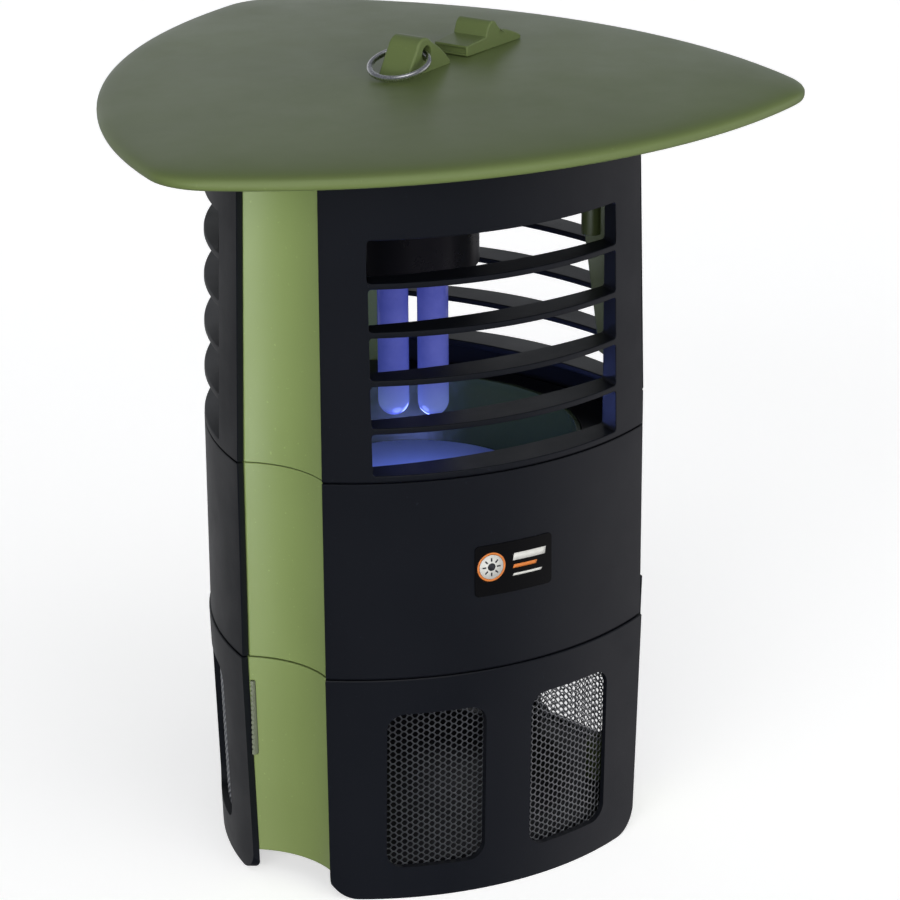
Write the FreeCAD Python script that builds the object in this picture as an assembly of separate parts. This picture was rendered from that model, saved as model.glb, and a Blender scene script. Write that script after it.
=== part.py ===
"""Hanging mosquito trap: three-sided lantern with a UV lamp, a suction fan and a lift-off catch container.

Millimetres, +Z up.  The origin is on the trap's central axis, on the plane it stands on.
The front face (with the nameplate) looks along -Y.  Corner columns stand at 330, 90 and 210 degrees,
faces at 270, 30 and 150 degrees.  A corner's own frame has the corner on +X; a face's own frame has the
face looking along -Y.
"""
import FreeCAD, Part
import math
import os

V = FreeCAD.Vector
Z_AXIS = V(0, 0, 1)

# ---- heights ----
seam_low = 91.0          # catch container meets the fan section
seam_high = 168.0        # fan section meets the lamp section
body_top = 288.6         # top of the lamp section's panels
lid_edge = 292.0         # upper edge of the roof's rim
rim_height = 3.0
seam_gap = 0.25
column_foot = 10.0       # the green columns stop above the floor

# ---- plan of the body ----
arc_back = 44.6          # each face is an arc whose centre lies this far behind the axis
face_r_mid = 123.3       # arc radius of a face, constant through the fan section
face_r_top = 120.2
face_r_low_top = 123.9   # the container stands a little proud of the fan section
face_r_foot = 121.0
face_half = 32.3         # half the angle that a face's arc covers
panel_t = 2.6
fit_gap = 0.15
column_t = 2.4
flange_t = 2.2
flange_reach = 25.0      # half width of a column over its two flanges
cove_r = 37.7
cove_x = 118.2           # distance of a cove's centre from the axis
cove_follow = 0.97       # share of the faces' taper that the coves follow
corner_angles = (330, 90, 210)
face_turns = (0, 120, 240)
corner_names = ("right", "rear", "left")
face_names = ("front", "rear_right", "rear_left")

# ---- louvre windows ----
window_half = 49.5
slot_h = 15.65
slot_pitch = 17.9
slot_top = 257.9
slot_count = 5
frame_w = 2.6
blade_back_r = 182.0     # the blades' inner edge is a flatter arc than the face
blade_back_y = 117.5

# ---- lid, lug, ring and latch (u runs towards the rear right face, w up from the lid's edge) ----
lid_corner = 147.0       # circumradius of the sharp lid triangle
lid_side_r = 223.5
lid_corner_r = 25.7
lid_skin = 2.4
lid_profile = ((1.0, 0.0), (0.988, 1.1), (0.965, 1.9), (0.90, 3.0), (0.75, 4.2), (0.30, 5.4))
plateau = 5.4
u_turn = 30.0
lug_half = 6.6
lug_screw_u = (-6.0, 7.5)
hole_u = 1.1
hole_w = 12.5
hole_r = 2.95
ring_r = 10.85
wire_r = 1.1
ring_drop = 16.0         # degrees below level at which the ring lies
ring_swivel = 3.0        # the ring has a little play in the hole and lies askew
ring_offset = 9.5
latch_half = 7.4
latch_slope = math.degrees(math.atan(1.2 / 51.0))

# ---- lamp ----
canopy_r = 25.1
canopy_bottom = 223.8
deck_z = 262.0
plate_t = 2.4
tube_r = 5.9
tube_gap = 15.0
tube_tip = 163.6
tube_top = 243.0
lamp_turn = -30.0

# ---- supply inlet in the rear cove ----
inlet_z = 276.0
inlet_hole_r = 5.2
inlet_bore_r = 3.2

# ---- funnel, disc and fan ----
funnel_rim_r = 63.4
funnel_rim_z = 157.2
funnel_t = 1.8
funnel_foot_r = 52.6     # inside radius where the funnel stands on the duct
separator_z = 154.8
separator_t = 2.2
disc_r = 46.9
disc_top = 135.5
duct_r = 46.5
duct_out = 50.5
duct_top = 127.8
duct_flange_r = 54.4
fan_plate_z = 97.0
duct_low = fan_plate_z + plate_t + 0.05
rotor_r = 44.8
rotor_mid = 117.6
hub_r = 15.6
motor_r = 12.5
motor_low = duct_low + 3.05
motor_high = motor_low + 16.0
motor_screw_x = 8.0
shaft_r = 1.0
blade_count = 7

# ---- container ----
mesh_x = (9.4, 46.0)
mesh_z = (13.0, 76.8)
mesh_corner = 6.5
foot_r = 10.0            # rounding at the two lower corners of a panel
dish_r = 52.0
floor_z = 10.0
strip_z = (51.0, 81.0)   # release strips, in a corner's frame
strip_y = (-17.0, -15.8)
strip_tip = 85.0
tooth_pitch = 2.0

# ---- fasteners ----
screw_r = 1.5
screw_head_r = 2.8
screw_head_h = 2.0
pilot_r = 1.55
clear_r = 1.7
boss_r = 4.2
boss_x = 70.5            # screw posts of the fan section and the container, from the axis
deck_post_x = 66.5
deck_post_r = 3.6
roof_post_x = 52.0


def face_radius(z, container=False):
    """Arc radius of a face's outer surface at height z."""
    if container:
        return face_r_foot + (face_r_low_top - face_r_foot) * z / seam_low
    if z <= seam_high:
        return face_r_mid
    return face_r_mid + (face_r_top - face_r_mid) * (z - seam_high) / (body_top - seam_high)


def round_solid(r1, r2, z1, z2, x=0.0, y=0.0, angle=360.0):
    """A cylinder or cone on a vertical axis at (x, y)."""
    if abs(r1 - r2) < 1e-6:
        return Part.makeCylinder(r1, z2 - z1, V(x, y, z1), Z_AXIS, angle)
    return Part.makeCone(r1, r2, z2 - z1, V(x, y, z1), Z_AXIS, angle)


def face_disc(z1, z2, inset, container=False, angle=360.0):
    """Everything inside the front face's arc, set back by inset."""
    r1 = face_radius(z1, container) - inset
    r2 = face_radius(z2, container) - inset
    solid = round_solid(r1, r2, z1, z2, 0.0, arc_back, angle)
    if angle < 360.0:
        solid.rotate(V(0, arc_back, 0), Z_AXIS, 270.0 - angle / 2)
    return solid


def turned(shape, angle):
    """A copy turned about the central axis."""
    return shape.rotated(V(0, 0, 0), Z_AXIS, angle)


def core(z1, z2, inset, container=False):
    """The body's rounded three-sided prism, set back by inset, with sharp corners."""
    disc = face_disc(z1, z2, inset, container)
    return disc.common(turned(disc, 120)).common(turned(disc, 240))


def cove_cutter(z1, z2, extra, container=False):
    """The hollow that a corner's cove follows, in the corner's frame, swollen by extra."""
    ends = []
    for z in (z1, z2):
        shift = (face_radius(z, container) - face_r_mid) * cove_follow
        edge = Part.makeCircle(cove_r + extra, V(cove_x + shift, 0, z), Z_AXIS)
        ends.append(Part.Wire(edge))
    return Part.makeLoft(ends, True, True)


def plate(z1, z2, inset, cove_extra, container=False):
    """A flat three-sided plate that follows the body's plan."""
    cutter = cove_cutter(z1 - 0.5, z2 + 0.5, cove_extra, container)
    return core(z1, z2, inset, container).cut([turned(cutter, a) for a in corner_angles])


def box(x1, x2, y1, y2, z1, z2):
    return Part.makeBox(x2 - x1, y2 - y1, z2 - z1, V(x1, y1, z1))


def rounded_box(x1, x2, y1, y2, z1, z2, r):
    """A box whose four edges along Y are rounded."""
    solid = box(x1, x2, y1, y2, z1, z2)
    edges = [e for e in solid.Edges if abs(e.BoundBox.YLength - (y2 - y1)) < 1e-6]
    return solid.makeFillet(r, edges)


def boss(z1, z2, x, r):
    """A round screw post or hole in a corner's frame."""
    return Part.makeCylinder(r, z2 - z1, V(x, 0, z1))


def inner_plate(z, thickness, screw_places):
    """A flat plate inside the panels, with a screw hole towards each corner at each distance given."""
    sheet = plate(z, z + thickness, panel_t + flange_t + 0.5, column_t + 0.4)
    holes = []
    for x in screw_places:
        holes += [turned(boss(z - 1, z + thickness + 1, x, clear_r), a) for a in corner_angles]
    return sheet.cut(holes)


def screw(x, z_face, length, up=True):
    """A pan-head screw in a corner's frame: head on z_face, thread running up or down from it."""
    s = 1 if up else -1
    head = Part.makeCylinder(screw_head_r, screw_head_h, V(x, 0, z_face), V(0, 0, -s))
    far_edge = [e for e in head.Edges if abs(e.BoundBox.ZMin - (z_face - s * screw_head_h)) < 1e-6
                and abs(e.BoundBox.ZMax - (z_face - s * screw_head_h)) < 1e-6]
    head = head.makeFillet(1.2, far_edge)
    recess = Part.makeBox(0.8, 3.6, 1.1, V(x - 0.4, -1.8, z_face - s * screw_head_h - (0.05 if up else 1.05)))
    cross = recess.rotated(V(x, 0, 0), Z_AXIS, 90)
    thread = Part.makeCylinder(screw_r, length, V(x, 0, z_face), V(0, 0, s))
    return head.fuse(thread).cut([recess, cross])


def at_corners(shape):
    return Part.makeCompound([turned(shape, a) for a in corner_angles])


# ---------------------------------------------------------------- panels and columns


def soften(solid, z_levels, size=0.3):
    """Chamfers the long outer edges of a panel at the given heights."""
    edges = []
    for e in solid.Edges:
        flat = e.BoundBox.ZLength < 1e-6
        outer = e.BoundBox.XLength > 100 and e.Curve.TypeId == "Part::GeomCircle"
        if flat and outer and any(abs(e.BoundBox.ZMin - z) < 1e-6 for z in z_levels):
            if e.Curve.Radius > face_radius(e.BoundBox.ZMin) - 1.5:
                edges.append(e)
    return solid.makeChamfer(size, edges) if edges else solid


def panel_wall(z1, z2, container=False):
    sector = face_disc(z1, z2, 0.0, container, 2 * face_half)
    return sector.cut(face_disc(z1 - 1, z2 + 1, panel_t, container))


def louvre_panel():
    """Upper panel: a wall with a deep five-slot window whose blades reach inwards."""
    z1, z2 = seam_high + seam_gap / 2, body_top
    frame_top = slot_top + frame_w
    block = box(-window_half - frame_w, window_half + frame_w, -90, -40, z1, frame_top)
    block = block.common(face_disc(z1, frame_top, 0.0))
    block = block.cut(round_solid(blade_back_r, blade_back_r, z1 - 1, frame_top + 1, 0, blade_back_y))
    panel = soften(panel_wall(z1, z2), (z1,)).fuse(block.cut(panel_wall(z1, z2)))
    slots = []
    for i in range(slot_count):
        top = slot_top - i * slot_pitch
        slots.append(rounded_box(-window_half, window_half, -95, -35, top - slot_h, top, 1.2))
    return panel.cut(slots).removeSplitter()


def band_panel():
    z1, z2 = seam_low + seam_gap / 2, seam_high - seam_gap / 2
    return soften(panel_wall(z1, z2), (z1, z2))


def container_panel():
    """Lower panel with two mesh windows and rounded feet."""
    z2 = seam_low - seam_gap / 2
    panel = soften(panel_wall(0.0, z2, True), (z2,))
    cutters = []
    for side in (-1, 1):
        xs = sorted((side * mesh_x[0], side * mesh_x[1]))
        cutters.append(rounded_box(xs[0], xs[1], -95, -40, mesh_z[0], mesh_z[1], mesh_corner))
    round_x = (face_r_foot + 0.35) * math.sin(math.radians(face_half)) - foot_r
    for side in (-1, 1):
        xs = sorted((side * round_x, side * (round_x + 12)))
        block = box(xs[0], xs[1], -90, -30, -1, foot_r)
        round_off = Part.makeCylinder(foot_r, 60, V(side * round_x, -90, foot_r), V(0, 1, 0))
        cutters.append(block.cut(round_off))
    return panel.cut(cutters)


def column_shell(z1, z2, container=False):
    """Green corner column in a corner's frame: a hollow cove with a flange behind each neighbour panel."""
    inset = panel_t + fit_gap
    outer = face_disc(z1, z2, inset, container)
    outer = turned(outer, 150).common(turned(outer, 30))
    inner = face_disc(z1 - 1, z2 + 1, inset + flange_t, container)
    inner = turned(inner, 150).common(turned(inner, 30))
    inner = inner.cut(cove_cutter(z1 - 2, z2 + 2, column_t, container))
    shell = outer.cut(cove_cutter(z1 - 1, z2 + 1, 0.0, container)).cut(inner)
    return shell.common(box(60, 100, -flange_reach, flange_reach, z1, z2))


def upper_column(rear=False):
    """Column of the lamp section, with the tapering web that carries the deck."""
    z1, z2 = seam_high + seam_gap / 2, body_top
    web_top = deck_z - 0.1
    outline = ((61, web_top), (80, web_top), (80, 185), (77, 185), (70, 190), (61, web_top))
    web = Part.Face(Part.makePolygon([V(x, -1.2, z) for x, z in outline])).extrude(V(0, 2.4, 0))
    web = web.cut(cove_cutter(150, 300, column_t - 0.6))
    post = boss(236, web_top, deck_post_x, deck_post_r)
    pilot = boss(web_top - 12, web_top, deck_post_x, pilot_r)
    column = column_shell(z1, z2).fuse([web, post]).cut(pilot)
    if rear:
        column = column.cut(Part.makeCylinder(inlet_hole_r, 30, V(60, 0, inlet_z), V(1, 0, 0)))
    return column.removeSplitter()


def posted_column(z1, z2, post_z1, post_z2, container=False):
    """Column with a full-height screw post webbed to the cove."""
    web = box(boss_x, 80, -1.2, 1.2, post_z1, post_z2)
    web = web.cut(cove_cutter(post_z1 - 1, post_z2 + 1, column_t - 0.6, container))
    post = boss(post_z1, post_z2, boss_x, boss_r)
    pilot = boss(post_z1 - 1, post_z2 + 1, boss_x, pilot_r)
    return column_shell(z1, z2, container).fuse([web, post]).cut(pilot).removeSplitter()


def band_column():
    return posted_column(seam_low + seam_gap / 2, seam_high - seam_gap / 2,
                         fan_plate_z + plate_t + 0.1, separator_z - 0.1)


def container_column():
    column = posted_column(column_foot, seam_low - seam_gap / 2, floor_z + plate_t + 0.1, 30.0, True)
    slot = box(70, 95, strip_y[0] - 0.3, strip_y[1] + 0.3, strip_z[0] - 0.3, strip_z[1] + 0.3)
    return column.cut(slot)


def release_strip():
    """Serrated strip beside the cove that is pressed in to free the container."""
    strip = box(77.0, strip_tip, strip_y[0], strip_y[1], strip_z[0], strip_z[1])
    stop = box(77.0, 79.0, strip_y[0] - 1.0, strip_y[1] + 1.4, strip_z[0] - 1.0, strip_z[1] + 1.0)
    notches = []
    tooth_count = int((strip_z[1] - strip_z[0]) / tooth_pitch) - 1
    for i in range(tooth_count):
        z = strip_z[0] + (i + 1) * tooth_pitch
        notch = Part.makeBox(1.0, 6, 1.0, V(-0.5, -3, -0.5)).rotated(V(0, 0, 0), V(0, 1, 0), 45)
        notches.append(notch.translated(V(strip_tip + 0.2, -15, z)))
    return strip.fuse(stop).cut(notches).removeSplitter()


# ---------------------------------------------------------------- roof


def lid_outline(scale, z):
    """The lid's rounded three-sided outline, scaled about the axis, at height z."""
    corners = [V(lid_corner * math.cos(math.radians(a)), lid_corner * math.sin(math.radians(a)), 0)
               for a in (210, 330, 90)]
    centres = []
    for i in range(3):
        p, q = corners[i], corners[(i + 1) % 3]
        mid = (p + q) * 0.5
        half = p.distanceToPoint(q) / 2
        inward = mid * (-1.0 / mid.Length)
        centres.append(mid + inward * math.sqrt(lid_side_r ** 2 - half ** 2))
    rounds = []
    for i in range(3):
        direction = corners[i] * (1.0 / corners[i].Length)
        c = centres[i]
        b = direction.dot(c)
        reach = b + math.sqrt(b * b - c.dot(c) + (lid_side_r - lid_corner_r) ** 2)
        rounds.append(direction * reach)
    edges = []
    for i in range(3):
        c, f0, f1 = centres[i], rounds[i], rounds[(i + 1) % 3]
        start = c + (f0 - c) * (lid_side_r / (f0 - c).Length)
        end = c + (f1 - c) * (lid_side_r / (f1 - c).Length)
        mid = c + (start + end - c * 2) * (lid_side_r / (start + end - c * 2).Length)
        c2 = centres[(i + 1) % 3]
        next_start = f1 + (f1 - c2) * (lid_corner_r / (f1 - c2).Length)
        tip = f1 + f1 * (lid_corner_r / f1.Length)
        for three in ((start, mid, end), (end, tip, next_start)):
            edges.append(Part.Arc(*[V(p.x * scale, p.y * scale, z) for p in three]).toShape())
    return Part.Wire(edges)


def lid_dome(scale, drop, base):
    """Solid under the lid's crowned surface, from height base up."""
    wires = [lid_outline(scale, base)]
    for s, w in lid_profile:
        wires.append(lid_outline(s * scale, lid_edge + w - drop))
    solid = Part.makeLoft(wires[:2], True, True)
    for a, b in zip(wires[1:-1], wires[2:]):
        solid = solid.fuse(Part.makeLoft([a, b], True, True))
    return solid.removeSplitter()


def along_u(shape):
    """Turns a piece drawn with its length on +X to the lug's direction."""
    return turned(shape, u_turn)


def roof_lid():
    outer = lid_dome(1.0, 0.0, lid_edge - rim_height)
    inner = lid_dome(0.982, lid_skin, lid_edge - rim_height - 1)
    skin = outer.cut(inner)
    seat = plate(body_top + 0.1, lid_edge + 6, 0.3, 0.3).cut(plate(body_top - 1, lid_edge + 7, 3.3, 3.3))
    under_skin = lid_dome(1.0, 0.0, deck_z)
    posts = []
    pilots = []
    for a in corner_angles:
        post = boss(deck_z + plate_t + 0.1, lid_edge + plateau, roof_post_x, 4.0)
        posts.append(turned(post, a).common(under_skin))
        pilots.append(turned(boss(deck_z, deck_z + 14, roof_post_x, pilot_r), a))
    lid = skin.fuse([seat.common(outer)] + posts)
    slot = along_u(box(37.0, 51.0, -3.4, 3.4, lid_edge - 2, lid_edge + 8))
    lug_holes = [along_u(boss(lid_edge - 5, lid_edge + 15, u, clear_r)) for u in lug_screw_u]
    return lid.cut(pilots + [slot] + lug_holes).removeSplitter()


def hanging_lug():
    """Wedge with a rounded crown and a cross hole, screwed to the lid from below."""
    w0 = plateau
    outline = ((-11.6, w0), (-4.9, 15.3), (-0.7, 18.5), (4.4, 16.5), (11.0, 12.2), (16.8, 6.9), (16.8, w0))
    p = [V(u, 0, w) for u, w in outline]
    edges = [Part.makeLine(p[0], p[1]), Part.Arc(p[1], p[2], p[3]).toShape(),
             Part.Arc(p[3], p[4], p[5]).toShape(), Part.makeLine(p[5], p[6]), Part.makeLine(p[6], p[0])]
    lug = Part.Face(Part.Wire(edges)).extrude(V(0, 2 * lug_half, 0)).translated(V(0, -lug_half, lid_edge))
    side_edges = [e for e in lug.Edges if e.BoundBox.YLength < 1e-6 and e.BoundBox.XLength > 1
                  and e.BoundBox.ZMax > lid_edge + w0 + 1]
    lug = lug.makeFillet(0.9, side_edges)
    hole = Part.makeCylinder(hole_r, 20, V(hole_u, -10, lid_edge + hole_w), V(0, 1, 0))
    pilots = [boss(lid_edge, lid_edge + w0 + 2.6, u, pilot_r) for u in lug_screw_u]
    return along_u(lug.cut([hole] + pilots))


def lug_screws():
    face = lid_edge + plateau - lid_skin
    return along_u(Part.makeCompound([screw(u, face - 0.05, lid_skin + 2.3) for u in lug_screw_u]))


def hanging_ring():
    tilt = math.radians(ring_drop)
    hole = V(hole_u, 0, lid_edge + hole_w)
    centre = hole - V(math.cos(tilt), 0, math.sin(tilt)) * ring_offset
    ring = Part.makeTorus(ring_r, wire_r, centre, V(-math.sin(tilt), 0, math.cos(tilt)))
    return along_u(ring.rotated(hole, Z_AXIS, ring_swivel))


def lid_latch():
    """Sliding latch: a wedge with a rounded finger ridge, and a stem with a tongue under the lid."""
    near, far = 26.8, 63.8
    low = plateau + 0.35
    outline = ((near, low), (near, 9.6), (39.8, 10.7), (41.0, 13.6), (44.2, 16.1), (47.3, 14.2),
               (49.6, 12.1), (57.4, 10.0), (far, 7.3), (far, low))
    p = [V(u, 0, w) for u, w in outline]
    edges = [Part.makeLine(p[0], p[1]), Part.makeLine(p[1], p[2]), Part.makeLine(p[2], p[3]),
             Part.Arc(p[3], p[4], p[5]).toShape(), Part.makeLine(p[5], p[6]),
             Part.Arc(p[6], p[7], p[8]).toShape(), Part.makeLine(p[8], p[9]), Part.makeLine(p[9], p[0])]
    body = Part.Face(Part.Wire(edges)).extrude(V(0, 2 * latch_half, 0)).translated(V(0, -latch_half, 0))
    ridge = [e for e in body.Edges if e.BoundBox.YLength < 1e-6 and e.BoundBox.ZMax > 7.5]
    body = body.makeFillet(0.6, ridge)
    body = body.cut(box(near - 1, near + 0.8, -latch_half + 0.9, latch_half - 0.9, low + 0.8, 8.6))
    stem = box(39.5, 43.5, -3.1, 3.1, 0.6, low + 1)
    tongue = box(34.0, 48.0, -5.6, 5.6, 0.6, 2.2)
    latch = body.fuse([stem, tongue]).removeSplitter()
    latch.rotate(V(26.4, 0, plateau), V(0, 1, 0), latch_slope)
    return along_u(latch.translated(V(0, 0, lid_edge)))


def roof_screws():
    return at_corners(screw(roof_post_x, deck_z - 0.05, 10))


# ---------------------------------------------------------------- lamp section


def top_deck():
    deck = inner_plate(deck_z, plate_t, (deck_post_x, roof_post_x))
    return deck.cut(Part.makeCylinder(5.0, 10, V(0, 0, deck_z - 3)))


def deck_screws():
    return at_corners(screw(deck_post_x, deck_z + plate_t + 0.05, 9, False))


def lamp_canopy():
    """Round black cup that hides the socket; the lamp comes down through its floor."""
    outer = Part.makeCylinder(canopy_r, deck_z - 0.1 - canopy_bottom, V(0, 0, canopy_bottom))
    low_edge = [e for e in outer.Edges if e.BoundBox.ZMax < canopy_bottom + 1e-6]
    outer = outer.makeChamfer(1.4, low_edge)
    inner = Part.makeCylinder(canopy_r - 2.0, 60, V(0, 0, canopy_bottom + 2.0))
    mouth = [turned(Part.makeCylinder(tube_r + 1.2, 10, V(s * tube_gap / 2, 0, canopy_bottom - 3)), lamp_turn)
             for s in (-1, 1)]
    return outer.cut([inner] + mouth)


def lamp_socket():
    block = box(-17, 17, -11, 11, 254.2, deck_z - 0.1)
    block = block.makeFillet(2.0, [e for e in block.Edges if e.BoundBox.ZLength > 5])
    pins = [Part.makeCylinder(1.4, 5.2, V(s * 11.5, 0, 254.1)) for s in (-1, 1)]
    return turned(block.cut(pins), lamp_turn)


def lamp_base():
    block = box(-15.8, 15.8, -8.6, 8.6, tube_top + 0.05, 254.1)
    block = block.makeFillet(2.5, [e for e in block.Edges if e.BoundBox.ZLength > 5])
    pins = [Part.makeCylinder(1.25, 5.0, V(s * 11.5, 0, 254.0)) for s in (-1, 1)]
    return turned(block.fuse(pins), lamp_turn)


def lamp_tubes():
    """Two parallel glass tubes with round ends, joined by a short bridge."""
    solid = None
    for s in (-1, 1):
        x = s * tube_gap / 2
        tube = Part.makeCylinder(tube_r, tube_top - tube_tip - tube_r, V(x, 0, tube_tip + tube_r))
        tube = tube.fuse(Part.makeSphere(tube_r, V(x, 0, tube_tip + tube_r)))
        solid = tube if solid is None else solid.fuse(tube)
    bridge = Part.makeCylinder(2.6, tube_gap, V(-tube_gap / 2, 0, tube_tip + 14.5), V(1, 0, 0))
    return turned(solid.fuse(bridge).removeSplitter(), lamp_turn)


def ballast():
    case = box(-31, 31, -48, -8, deck_z + plate_t + 0.1, deck_z + plate_t + 20.1)
    return case.makeFillet(1.5, [e for e in case.Edges if e.BoundBox.ZLength > 5])


def terminal_block():
    z = deck_z + plate_t + 0.1
    block = box(-15, 15, 22, 34, z, z + 11)
    cuts = [box(-14 + i * 10, -7 + i * 10, 20, 36, z + 8, z + 12) for i in range(3)]
    holes = [Part.makeCylinder(2.2, 6, V(-10.5 + i * 10, 28, z + 4)) for i in range(3)]
    return block.cut(cuts + holes)


def inlet_grommet():
    """Rubber bush in the rear cove that the supply lead passes through."""
    wall = cove_x - cove_r + (face_radius(inlet_z) - face_r_mid) * cove_follow
    bush = Part.makeCylinder(inlet_hole_r - 0.1, 7.2, V(wall - column_t - 2.2, 0, inlet_z), V(1, 0, 0))
    collar = Part.makeCylinder(7.4, 2.0, V(wall + 0.95, 0, inlet_z), V(1, 0, 0))
    collar = collar.makeFillet(0.8, [e for e in collar.Edges if e.BoundBox.XMin > wall + 2.9])
    tail = Part.makeCylinder(6.6, 1.6, V(wall - column_t - 2.3, 0, inlet_z), V(1, 0, 0))
    bore = Part.makeCylinder(inlet_bore_r, 20, V(wall - 10, 0, inlet_z), V(1, 0, 0))
    return turned(bush.fuse([collar, tail]).cut(bore).removeSplitter(), 90)


# ---------------------------------------------------------------- fan section


def separator_plate():
    """Black plate that closes the fan section round the funnel's rim."""
    sheet = inner_plate(separator_z, separator_t, (boss_x,))
    return sheet.cut(Part.makeCylinder(funnel_rim_r + 0.4, 10, V(0, 0, separator_z - 3)))


def separator_screws():
    return at_corners(screw(boss_x, separator_z + separator_t + 0.05, 9, False))


def revolved(points):
    """Solid of revolution about the central axis from (radius, height) points."""
    wire = Part.makePolygon([V(r, 0, z) for r, z in points] + [V(points[0][0], 0, points[0][1])])
    return Part.Face(wire).revolve(V(0, 0, 0), Z_AXIS, 360)


def funnel():
    """Conical intake with an upstanding lip and a flange under the separator plate."""
    rim_in = funnel_rim_r - funnel_t
    foot_out = funnel_foot_r + funnel_t
    low = duct_top + 0.1
    flange_low = separator_z - 2.4
    return revolved([(funnel_rim_r, funnel_rim_z), (rim_in, funnel_rim_z), (rim_in, flange_low + 0.6),
                     (funnel_foot_r, low + 1.8), (funnel_foot_r, low), (foot_out, low), (foot_out, low + 1.5),
                     (funnel_rim_r - 0.4, flange_low), (funnel_rim_r + 2.8, flange_low),
                     (funnel_rim_r + 2.8, separator_z - 0.1), (funnel_rim_r, separator_z - 0.1)])


def attractant_disc():
    """Pale disc that stands over the fan inlet on three feet; air and insects go round its edge."""
    disc = Part.makeCylinder(disc_r, 2.0, V(0, 0, disc_top - 2.0))
    disc = disc.makeFillet(0.8, [e for e in disc.Edges if e.BoundBox.ZMin > disc_top - 1e-6])
    feet = []
    for a in (30, 150, 270):
        foot = box(42.5, funnel_foot_r - 1.2, -2.5, 2.5, duct_top + 0.05, duct_top + 1.8)
        post = Part.makeCylinder(1.8, disc_top - 1.0 - duct_top, V(44.4, 0, duct_top + 0.1))
        feet.append(turned(foot.fuse(post), a))
    return disc.fuse(feet).removeSplitter()


def fan_plate():
    sheet = inner_plate(fan_plate_z, plate_t, (boss_x,))
    return sheet.cut(Part.makeCylinder(duct_r, 10, V(0, 0, fan_plate_z - 3)))


def fan_plate_screws():
    return at_corners(screw(boss_x, fan_plate_z - 0.05, 9))


def fan_duct():
    """Duct ring, flanged at the top, with the three arms and the cup that carry the motor."""
    ring = revolved([(duct_r, duct_low), (duct_out, duct_low), (duct_out, duct_top - 4.0),
                     (duct_flange_r, duct_top - 2.0), (duct_flange_r, duct_top), (duct_r, duct_top)])
    cup = Part.makeCylinder(15.0, 3.0, V(0, 0, duct_low))
    arms = [turned(box(12, duct_r + 0.8, -2.0, 2.0, duct_low, duct_low + 3.0), a) for a in corner_angles]
    holes = [boss(duct_low - 3, duct_low + 7, s * motor_screw_x, 1.1) for s in (-1, 1)]
    return ring.fuse([cup] + arms).cut(holes).removeSplitter()


def fan_motor():
    can = Part.makeCylinder(motor_r, motor_high - motor_low, V(0, 0, motor_low))
    can = can.makeFillet(1.0, [e for e in can.Edges if e.BoundBox.ZLength < 1e-6])
    neck = Part.makeCylinder(3.5, 1.2, V(0, 0, motor_high))
    shaft_hole = Part.makeCylinder(shaft_r + 0.05, 40, V(0, 0, motor_low + 1.5))
    taps = [boss(motor_low - 0.1, motor_low + 2.9, s * motor_screw_x, 1.05) for s in (-1, 1)]
    return can.fuse(neck).cut([shaft_hole] + taps)


def motor_screws():
    pieces = []
    for x in (-motor_screw_x, motor_screw_x):
        head = boss(duct_low - 1.45, duct_low - 0.05, x, 2.0)
        thread = boss(duct_low - 0.1, duct_low + 5.7, x, 1.0)
        slot = box(x - 0.3, x + 0.3, -1.6, 1.6, duct_low - 1.6, duct_low - 0.9)
        pieces.append(head.fuse(thread).cut(slot))
    return Part.makeCompound(pieces)


def fan_shaft():
    return Part.makeCylinder(shaft_r, 19.9, V(0, 0, motor_low + 1.6))


def fan_blade():
    """One twisted blade, lofted outwards through four chord lines."""
    sections = []
    for r, chord, pitch in ((14.6, 15.0, 46.0), (24.0, 20.0, 36.0), (34.0, 25.0, 28.0),
                            (rotor_r, 29.0, 22.0)):
        half, t = chord / 2, 0.7
        pts = [V(r, -half, -t), V(r, half, -t), V(r, half, t), V(r, -half, t)]
        wire = Part.makePolygon(pts + [pts[0]])
        wire.rotate(V(r, 0, 0), V(1, 0, 0), pitch)
        sections.append(wire)
    blade = Part.makeLoft(sections, True, False)
    return blade.translated(V(0, 0, rotor_mid))


def fan_rotor():
    hub = Part.makeCylinder(hub_r, 14.8, V(0, 0, rotor_mid - 6.8))
    hub = hub.makeFillet(2.0, [e for e in hub.Edges if e.BoundBox.ZMin > rotor_mid + 7.9])
    hub = hub.cut(Part.makeCylinder(motor_r + 1.2, 13.0, V(0, 0, rotor_mid - 6.9)))
    stub = Part.makeCylinder(3.2, 6.0, V(0, 0, rotor_mid + 2.2))
    blades = [turned(fan_blade(), i * 360.0 / blade_count) for i in range(blade_count)]
    limit = Part.makeCylinder(rotor_r, 40, V(0, 0, rotor_mid - 20))
    limit = limit.cut(Part.makeCylinder(motor_r + 1.2, 27, V(0, 0, rotor_mid - 21)))
    rotor = hub.fuse([b.common(limit) for b in blades]).fuse(stub)
    return rotor.cut(Part.makeCylinder(shaft_r, 5.0, V(0, 0, rotor_mid + 1.5))).removeSplitter()


def nameplate():
    """Thin curved plate on the front of the fan section."""
    skin = Part.makeCylinder(face_r_mid + 0.4, 40, V(0, arc_back, 110))
    skin = skin.cut(Part.makeCylinder(face_r_mid + 0.02, 42, V(0, arc_back, 109)))
    return skin.common(rounded_box(-14.0, 17.6, -90, -60, 120.4, 140.2, 1.6))


# ---------------------------------------------------------------- catch container


def container_collar():
    """Ring that ties the container's walls together and plugs into the fan section."""
    z1, z2 = seam_low - 4.0, seam_low + 4.8
    inset, cove = panel_t + flange_t + 0.7, column_t + 0.6
    outer = plate(z1, z2, inset + 0.3, cove + 0.2)
    inner = plate(z1 - 1, z2 + 1, inset + 2.5, cove + 2.4)
    return outer.cut(inner)


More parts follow.
